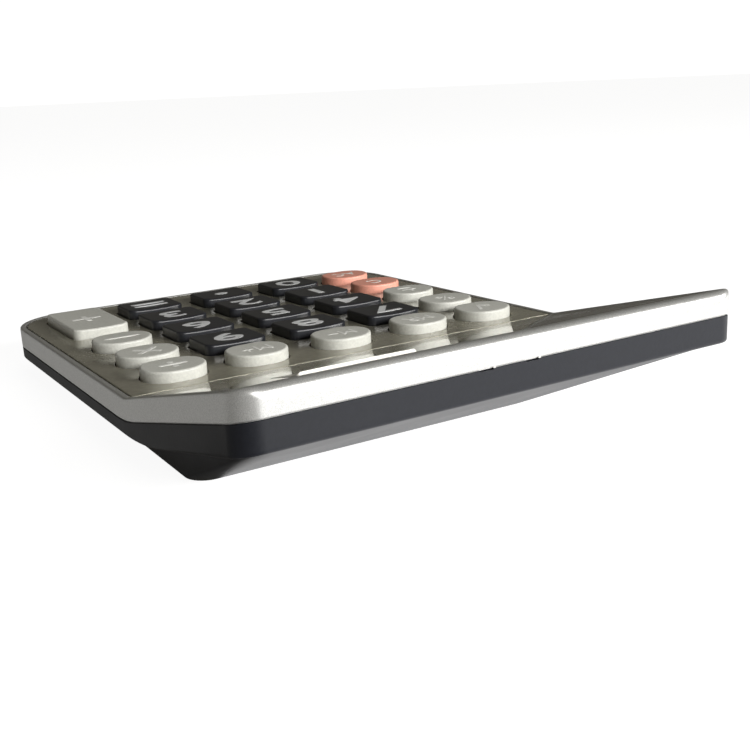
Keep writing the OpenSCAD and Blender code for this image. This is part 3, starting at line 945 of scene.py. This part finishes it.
# Text, height of a capital in millimetres, how much its strokes are thickened, and its stretch along x
LEGENDS = {
    "key_root": ("\u221a", 3.6, 0, 1.3), "key_mrc": ("MR", 3.0, 0, 1), "key_m_minus": ("M\u2212", 3.0, 0, 1),
    "key_m_plus": ("M+", 3.0, 0, 1), "key_divide": ("\u00f7", 6.6, 0, 1.1), "key_percent": ("%", 3.4, 0, 1.1),
    "key_shift": ("\u00b1", 4.6, 0, 1.1), "key_times": ("\u00d7", 6.6, 0, 1.1),
    "key_minus": ("\u2212", 6.0, 0, 1.6), "key_plus": ("+", 7.6, 0, 1.1), "key_c": ("C", 3.2, 0.006, 1.1),
    "key_on": ("AC", 3.0, 0.006, 1), "key_point": (".", 8.0, 0.04, 1.5), "key_equals": ("=", 7.6, 0, 1.4),
    **{f"key_{digit}": (str(digit), 5.2, 0.022, 1.6) for digit in range(10)},
}
LEGEND_RISE = 0.03                     # of the print above the cap's top
LEGEND_ROOT = 0.06                     # how far it goes into the cap
CAPITAL = 0.69                         # height of a capital in the default font, as a share of its size


def glyphs(text, height, bold, stretch):
    """Flat solid of a short text, centred on its own box, in millimetres."""
    curve = bpy.data.curves.new("glyphs", "FONT")
    curve.body = text
    curve.size = height / CAPITAL
    curve.offset = bold * height
    curve.extrude = 0.05
    curve.resolution_u = 6
    holder = bpy.data.objects.new("glyphs", curve)
    bpy.context.scene.collection.objects.link(holder)
    graph = bpy.context.evaluated_depsgraph_get()
    mesh = bpy.data.meshes.new_from_object(holder.evaluated_get(graph))
    bpy.data.objects.remove(holder)
    bpy.data.curves.remove(curve)
    bm = bmesh.new()
    bm.from_mesh(mesh)
    bpy.data.meshes.remove(mesh)
    spans = [[v.co[i] for v in bm.verts] for i in range(2)]
    middle = Vector(((min(spans[0]) + max(spans[0])) / 2, (min(spans[1]) + max(spans[1])) / 2, 0))
    bmesh.ops.translate(bm, verts=bm.verts, vec=-middle)
    bmesh.ops.scale(bm, verts=bm.verts, vec=(stretch, 1, 1))
    return bm


def legend(name, text, height, bold, stretch, ink):
    """Printed legend of a key: a thin solid that follows the dished top."""
    x0, y0 = key_size(name)[:2]
    bm = glyphs(text, height, bold, stretch)
    for v in bm.verts:
        v.co.z = top_of(name, v.co.x, v.co.y) + (LEGEND_RISE if v.co.z > 0 else -LEGEND_ROOT)
    printed = new_object(name + "_legend", bm, KEYBOARD @ Matrix.Translation((x0, y0, 0)), 30)
    coat(printed, ink)
    return attach(printed, name, key_slot(name))


# ---------------------------------------------------------------------------------------------
# Parts inside and underneath, which keep their CAD meshes

def metal(name, colour, roughness, grain=900):
    made = material(name, colour, roughness, metallic=1.0)
    fine = noise(made, grain, 3.0)
    vary_colour(made, fine, colour, 0.08)
    vary_roughness(made, noise(made, 260, 4.0), roughness - 0.06, roughness + 0.1)
    add_bump(made, fine, 0.2, 0.01)
    return made


def laminate():
    """Solder mask over copper: traces show as slightly raised, lighter bands."""
    made = material("laminate", (0.02, 0.12, 0.05), 0.35)
    coordinates = node(made, "ShaderNodeTexCoord")
    traces = node(made, "ShaderNodeTexWave", Scale=420.0, Distortion=6.0, Detail=1.0)
    link(made, coordinates, "Object", traces, "Vector")
    vary_colour(made, traces, (0.03, 0.16, 0.07), 0.35, 0.45, 0.55)
    vary_roughness(made, noise(made, 200, 3.0), 0.3, 0.45)
    add_bump(made, traces, 0.3, 0.03)
    return made


def photovoltaic():
    """Dark cell with thin lighter fingers across it."""
    made = material("photovoltaic", (0.02, 0.016, 0.05), 0.2)
    coordinates = node(made, "ShaderNodeTexCoord")
    fingers = node(made, "ShaderNodeTexWave", Scale=260.0, Distortion=0.0)
    link(made, coordinates, "Object", fingers, "Vector")
    vary_colour(made, fingers, (0.05, 0.04, 0.1), 0.6, 0.9, 0.97)
    vary_roughness(made, noise(made, 300, 3.0), 0.15, 0.3)
    return made


def finish_cad_parts():
    """Materials and fine edges for the CAD meshes that are shown as they are."""
    steel = metal("steel", (0.55, 0.55, 0.54), 0.3)
    looks = {
        "lcd_panel": (textured_plastic("lcd_glass", (0.4, 0.45, 0.36), 0.12, 700, 0.002), 0.1),
        "lcd_holder": (textured_plastic("white_abs", (0.75, 0.75, 0.72), 0.45), 0.12),
        "lcd_flex": (textured_plastic("polyimide", (0.5, 0.22, 0.05), 0.3, 900), 0.03),
        "solar_cell": (photovoltaic(), 0.1),
        "power_wires": (textured_plastic("wire_jacket", (0.5, 0.02, 0.02), 0.4), 0.0),
        "main_board": (laminate(), 0.06),
        "calc_chip": (textured_plastic("resin", (0.012, 0.012, 0.012), 0.25, 600), 0.0),
        "smd_parts": (textured_plastic("smd_body", (0.3, 0.24, 0.18), 0.4), 0.06),
        "keypad_mat": (textured_plastic("silicone", (0.62, 0.62, 0.58), 0.6), 0.08),
        "battery_cell": (metal("cell_steel", (0.62, 0.62, 0.6), 0.25), 0.25),
        "contact_plus": (metal("brass", (0.7, 0.5, 0.2), 0.3), 0.04),
        "contact_minus": (metal("spring_steel", (0.6, 0.6, 0.58), 0.3), 0.04),
        "battery_door": (textured_plastic("door_texture", (0.026, 0.027, 0.03), 0.45), 0.15),
        "door_screw": (steel, 0.1), "case_screws": (steel, 0.1), "board_screws": (steel, 0.1),
        "rubber_feet": (textured_plastic("foot_rubber", (0.02, 0.02, 0.02), 0.75, 2200), 0.3),
    }
    for name, (made, bevel) in looks.items():
        obj = frame["nodes"][name]
        coat(obj, made)
        weld = obj.modifiers.new("weld", "WELD")
        weld.merge_threshold = MERGE * MM
        if bevel:
            edges = obj.modifiers.new("edges", "BEVEL")
            edges.width = bevel * MM
            edges.segments = 2
            edges.limit_method = "ANGLE"
            edges.angle_limit = math.radians(40)


# The six outer segments of a figure: the place of the middle, and 1 for a level one
OUTER_SEGMENTS = ((0, 1, 1), (1, 0.5, 0), (1, -0.5, 0), (0, -1, 1), (-1, -0.5, 0), (-1, 0.5, 0))


def lcd_digits():
    """Figures of the display, as thin segments on the glass: a nought and its point."""
    bm = bmesh.new()
    w, h, t = 2.0, 4.0, 0.62
    x0, y0 = LCD_W / 2 - 5, LCD_MID_Y - 1.2
    low, high = GLASS_HI.z - 0.02, GLASS_HI.z + 0.05
    for dx, dy, level in OUTER_SEGMENTS:
        long = (w if level else h) * 0.9
        x, y = x0 + dx * w, y0 + dy * h
        outline = segment(long if level else t, t if level else long)
        prism(bm, [(x + px, y + py) for px, py in outline], low, high)
    prism(bm, circle(0.45, x0 + w + 1.2, y0 - h, 20), low, high)
    digits = new_object("lcd_figures", bm, PANEL)
    coat(digits, textured_plastic("lcd_ink", (0.02, 0.025, 0.02), 0.3, 1200, 0.002))
    return attach(digits, "case", "lcd_glass")


def segment(w, d):
    """Bar with pointed ends along its longer side, counter-clockwise."""
    if w > d:
        return [(-w + d / 2, -d / 2), (w - d / 2, -d / 2), (w, 0), (w - d / 2, d / 2), (-w + d / 2, d / 2),
                (-w, 0)]
    end = d / 2
    return [(-w / 2, -end + w / 2), (0, -end), (w / 2, -end + w / 2), (w / 2, end - w / 2), (0, end),
            (-w / 2, end - w / 2)]


def notch_pips():
    """Small pips at the left ends of the pry notches, as the user sees them, painted light grey as a painted
    highlight on the black shell's edge.
    """
    bm = bmesh.new()
    z = seam_z(END_Y)
    for x in NOTCHES:
        prism(bm, rounded(0.5, 0.7, 0.12, x - 1.35, END_Y - 0.38), z - 0.25, z + 0.3)
    pips = new_object("notch_pips", bm, KEYBOARD)
    polish(pips, 0.06)
    # the pips' light grey is a painted highlight on the seam's edge, not the shell's own colour
    coat(pips, textured_plastic("pip_painted_highlight", (0.45, 0.44, 0.42), 0.4))
    return attach(pips, "case", "black_case")


# ---------------------------------------------------------------------------------------------
# The scene

make_camera()
make_stage()
make_lights()
bpy.context.scene.view_settings.view_transform = "Standard"
front_cover()
rear_cover()
keyboard_plate()
display_window()
solar_window()
make_keys()
lcd_digits()
notch_pips()
finish_cad_parts()
